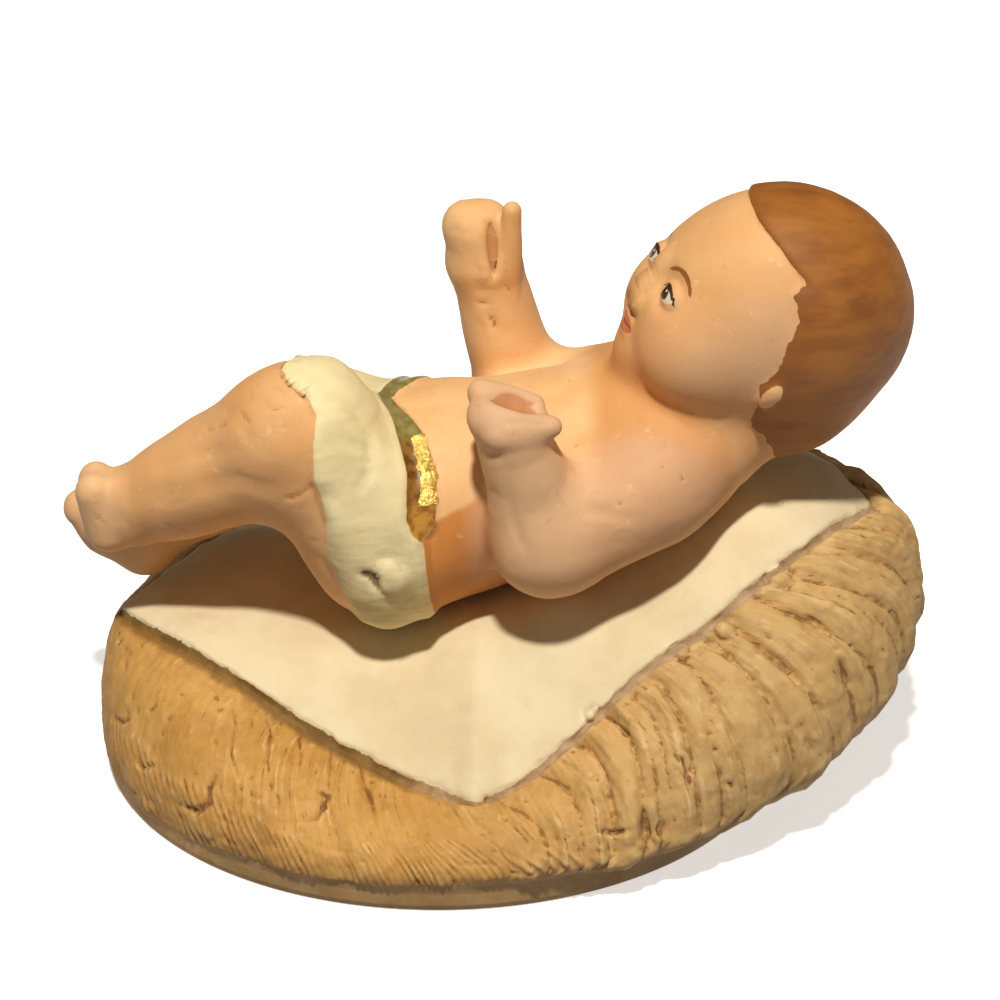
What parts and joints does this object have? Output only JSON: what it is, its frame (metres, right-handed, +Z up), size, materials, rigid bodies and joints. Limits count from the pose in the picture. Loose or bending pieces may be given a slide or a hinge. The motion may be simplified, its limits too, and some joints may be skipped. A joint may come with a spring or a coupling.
{
  "type": "baby jesus figurine",
  "caption": "Painted terracotta nativity infant in a loincloth, lying with raised arms on a moulded straw bed with a cloth over it.",
  "frame": {"origin": "centre of the bed's flat oval underside, on the surface it stands on", "axes": "+X from the infant's feet to its head, +Z up, -Y the front, where the infant's left arm is"},
  "size_m": [0.0957, 0.069, 0.0677],
  "materials": {
    "painted_infant": "matt hand-painted flesh, brown satin hair, ivory loincloth, worn gold leaf on the girdle",
    "painted_straw_bed": "matt ochre paint rubbed thin on the relief, cream cloth, bare clay in the deepest marks"
  },
  "bodies": {
    "root": {"infant": "painted_infant", "straw_bed": "painted_straw_bed"}
  },
  "joints": []
}
